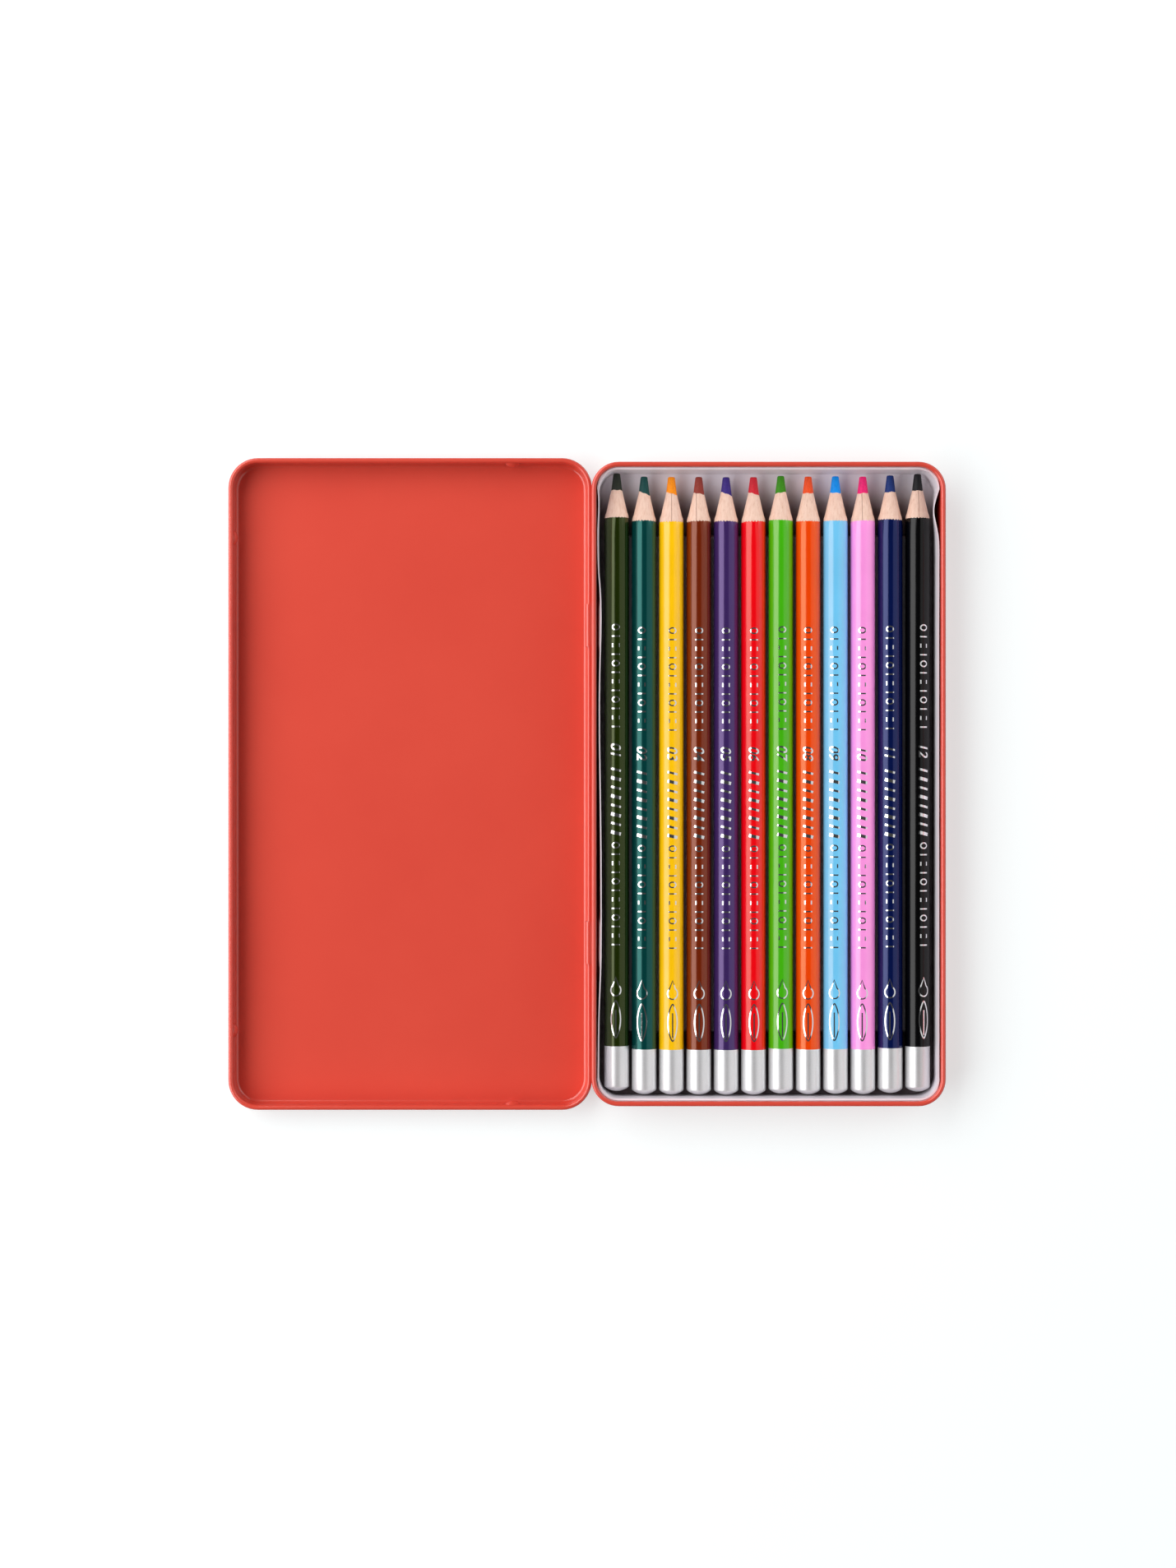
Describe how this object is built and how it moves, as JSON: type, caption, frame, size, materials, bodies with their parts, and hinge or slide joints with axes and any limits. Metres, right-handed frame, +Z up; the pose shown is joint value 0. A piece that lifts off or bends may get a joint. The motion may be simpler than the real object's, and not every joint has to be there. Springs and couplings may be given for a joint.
{
  "type": "watercolor pencil set",
  "caption": "Flat hinged metal tin lying open, with a row of round watercolor pencils in a formed plastic tray.",
  "frame": {"origin": "under the middle of the open set, on the table", "axes": "+X from the lid to the base, +Y towards the pencil points, +Z up"},
  "size_m": [0.202, 0.1842, 0.012],
  "materials": {
    "tin": "glossy lacquered sheet",
    "tray_plastic": "thin formed film, satin",
    "cedar": "sharpened, bare",
    "silver_dip": "metallic dipped lacquer",
    "lacquer_olive": "glossy lacquer",
    "lead_olive": "waxy pigment",
    "lacquer_teal": "glossy lacquer",
    "lead_teal": "waxy pigment",
    "lacquer_yellow": "glossy lacquer",
    "lead_yellow": "waxy pigment",
    "lacquer_brown": "glossy lacquer",
    "lead_brown": "waxy pigment",
    "lacquer_purple": "glossy lacquer",
    "lead_purple": "waxy pigment",
    "lacquer_red": "glossy lacquer",
    "lead_red": "waxy pigment",
    "lacquer_green": "glossy lacquer",
    "lead_green": "waxy pigment",
    "lacquer_orange": "glossy lacquer",
    "lead_orange": "waxy pigment",
    "lacquer_sky_blue": "glossy lacquer",
    "lead_sky_blue": "waxy pigment",
    "lacquer_pink": "glossy lacquer",
    "lead_pink": "waxy pigment",
    "lacquer_navy": "glossy lacquer",
    "lead_navy": "waxy pigment",
    "lacquer_black": "glossy lacquer",
    "lead_black": "waxy pigment"
  },
  "bodies": {
    "base": {"base_shell": "tin"},
    "lid": {"lid_shell": "tin"},
    "tray": {"tray": "tray_plastic"},
    "pencil_01": {"pencil_01_casing": "cedar", "pencil_01_lead": "lead_olive", "pencil_01_lacquer": "lacquer_olive", "pencil_01_end_cap": "silver_dip"},
    "pencil_02": {"pencil_02_casing": "cedar", "pencil_02_lead": "lead_teal", "pencil_02_lacquer": "lacquer_teal", "pencil_02_end_cap": "silver_dip"},
    "pencil_03": {"pencil_03_casing": "cedar", "pencil_03_lead": "lead_yellow", "pencil_03_lacquer": "lacquer_yellow", "pencil_03_end_cap": "silver_dip"},
    "pencil_04": {"pencil_04_casing": "cedar", "pencil_04_lead": "lead_brown", "pencil_04_lacquer": "lacquer_brown", "pencil_04_end_cap": "silver_dip"},
    "pencil_05": {"pencil_05_casing": "cedar", "pencil_05_lead": "lead_purple", "pencil_05_lacquer": "lacquer_purple", "pencil_05_end_cap": "silver_dip"},
    "pencil_06": {"pencil_06_casing": "cedar", "pencil_06_lead": "lead_red", "pencil_06_lacquer": "lacquer_red", "pencil_06_end_cap": "silver_dip"},
    "pencil_07": {"pencil_07_casing": "cedar", "pencil_07_lead": "lead_green", "pencil_07_lacquer": "lacquer_green", "pencil_07_end_cap": "silver_dip"},
    "pencil_08": {"pencil_08_casing": "cedar", "pencil_08_lead": "lead_orange", "pencil_08_lacquer": "lacquer_orange", "pencil_08_end_cap": "silver_dip"},
    "pencil_09": {"pencil_09_casing": "cedar", "pencil_09_lead": "lead_sky_blue", "pencil_09_lacquer": "lacquer_sky_blue", "pencil_09_end_cap": "silver_dip"},
    "pencil_10": {"pencil_10_casing": "cedar", "pencil_10_lead": "lead_pink", "pencil_10_lacquer": "lacquer_pink", "pencil_10_end_cap": "silver_dip"},
    "pencil_11": {"pencil_11_casing": "cedar", "pencil_11_lead": "lead_navy", "pencil_11_lacquer": "lacquer_navy", "pencil_11_end_cap": "silver_dip"},
    "pencil_12": {"pencil_12_casing": "cedar", "pencil_12_lead": "lead_black", "pencil_12_lacquer": "lacquer_black", "pencil_12_end_cap": "silver_dip"}
  },
  "joints": [
    {"name": "lid_hinge", "type": "hinge", "parent": "base", "child": "lid", "pos_m": [0.00082, 0, 0.00625], "axis": [0, -1, 0], "range_deg": [-180, 0]},
    {"name": "tray_lift", "type": "slide", "parent": "base", "child": "tray", "axis": [0, 0, 1], "range_m": [0, 0.03]},
    {"name": "pencil_01_lift", "type": "slide", "parent": "tray", "child": "pencil_01", "axis": [0, 0, 1], "range_m": [0, 0.03]},
    {"name": "pencil_02_lift", "type": "slide", "parent": "tray", "child": "pencil_02", "axis": [0, 0, 1], "range_m": [0, 0.03]},
    {"name": "pencil_03_lift", "type": "slide", "parent": "tray", "child": "pencil_03", "axis": [0, 0, 1], "range_m": [0, 0.03]},
    {"name": "pencil_04_lift", "type": "slide", "parent": "tray", "child": "pencil_04", "axis": [0, 0, 1], "range_m": [0, 0.03]},
    {"name": "pencil_05_lift", "type": "slide", "parent": "tray", "child": "pencil_05", "axis": [0, 0, 1], "range_m": [0, 0.03]},
    {"name": "pencil_06_lift", "type": "slide", "parent": "tray", "child": "pencil_06", "axis": [0, 0, 1], "range_m": [0, 0.03]},
    {"name": "pencil_07_lift", "type": "slide", "parent": "tray", "child": "pencil_07", "axis": [0, 0, 1], "range_m": [0, 0.03]},
    {"name": "pencil_08_lift", "type": "slide", "parent": "tray", "child": "pencil_08", "axis": [0, 0, 1], "range_m": [0, 0.03]},
    {"name": "pencil_09_lift", "type": "slide", "parent": "tray", "child": "pencil_09", "axis": [0, 0, 1], "range_m": [0, 0.03]},
    {"name": "pencil_10_lift", "type": "slide", "parent": "tray", "child": "pencil_10", "axis": [0, 0, 1], "range_m": [0, 0.03]},
    {"name": "pencil_11_lift", "type": "slide", "parent": "tray", "child": "pencil_11", "axis": [0, 0, 1], "range_m": [0, 0.03]},
    {"name": "pencil_12_lift", "type": "slide", "parent": "tray", "child": "pencil_12", "axis": [0, 0, 1], "range_m": [0, 0.03]}
  ]
}
